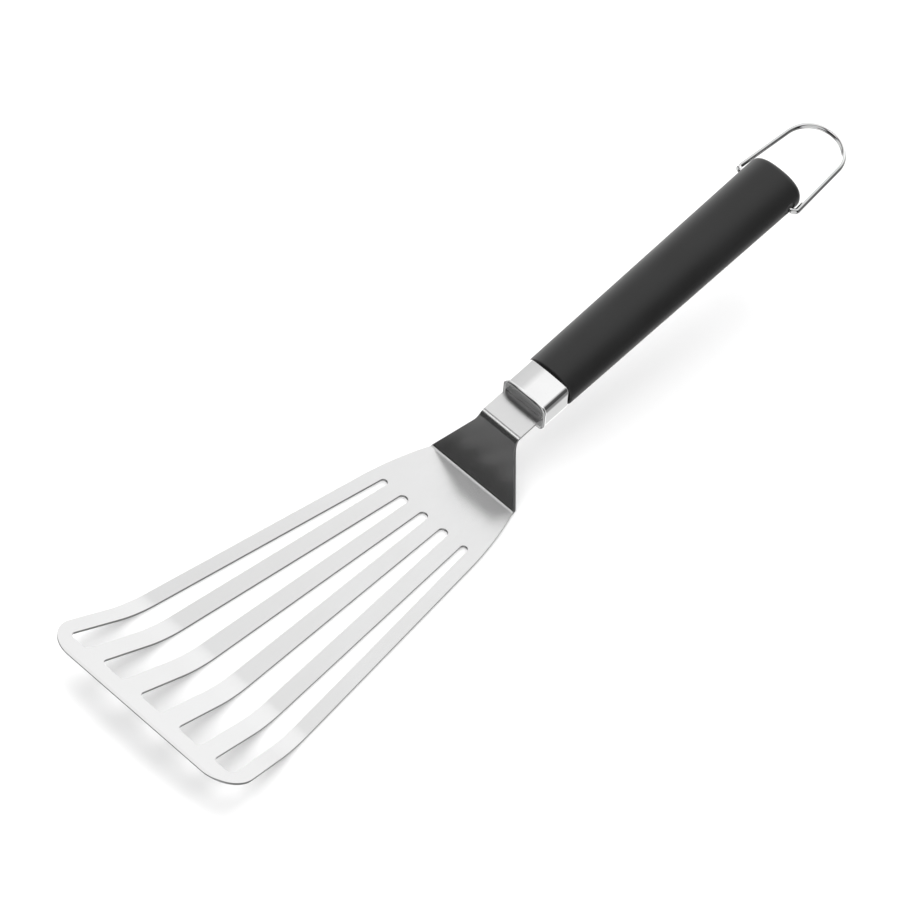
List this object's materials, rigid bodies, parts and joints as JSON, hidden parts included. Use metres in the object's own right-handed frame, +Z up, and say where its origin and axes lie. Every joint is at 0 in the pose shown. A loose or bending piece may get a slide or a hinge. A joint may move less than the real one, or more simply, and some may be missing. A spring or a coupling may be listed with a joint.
{
  "type": "grill spatula",
  "caption": "Slotted, widening spatula head bent up at its front, on a raised soft-grip handle with a swinging wire hanging loop.",
  "frame": {"origin": "middle of the plan outline, on the plane of the blade's flat underside", "axes": "+X across the blade to its right, +Y along the spatula towards the hanging loop, +Z up from the blade's underside"},
  "size_m": [0.1016, 0.4206, 0.0704],
  "materials": {
    "blade_steel": "fine satin, brushed along the blade",
    "tang_steel": "mill",
    "rivet_steel": "plain",
    "ferrule_chrome": "polished",
    "seal_rubber": "matt black",
    "core_nylon": "moulded",
    "pin_steel": "plain",
    "soft_grip": "soft-touch satin",
    "bush_nylon": "moulded",
    "loop_chrome": "polished"
  },
  "bodies": {
    "spatula": {"blade": "blade_steel", "tang": "tang_steel", "tang_rivets": "rivet_steel", "ferrule": "ferrule_chrome", "joint_seal": "seal_rubber", "core_upper": "core_nylon", "core_lower": "core_nylon", "core_pin": "pin_steel", "grip_sleeve": "soft_grip", "loop_bush_left": "bush_nylon", "loop_bush_right": "bush_nylon"},
    "loop": {"hanging_loop": "loop_chrome"}
  },
  "joints": [
    {"name": "loop_swing", "type": "hinge", "parent": "spatula", "child": "loop", "pos_m": [0, 0.16615, 0.05971], "axis": [1, 0, 0], "range_deg": [-145, 150]}
  ]
}
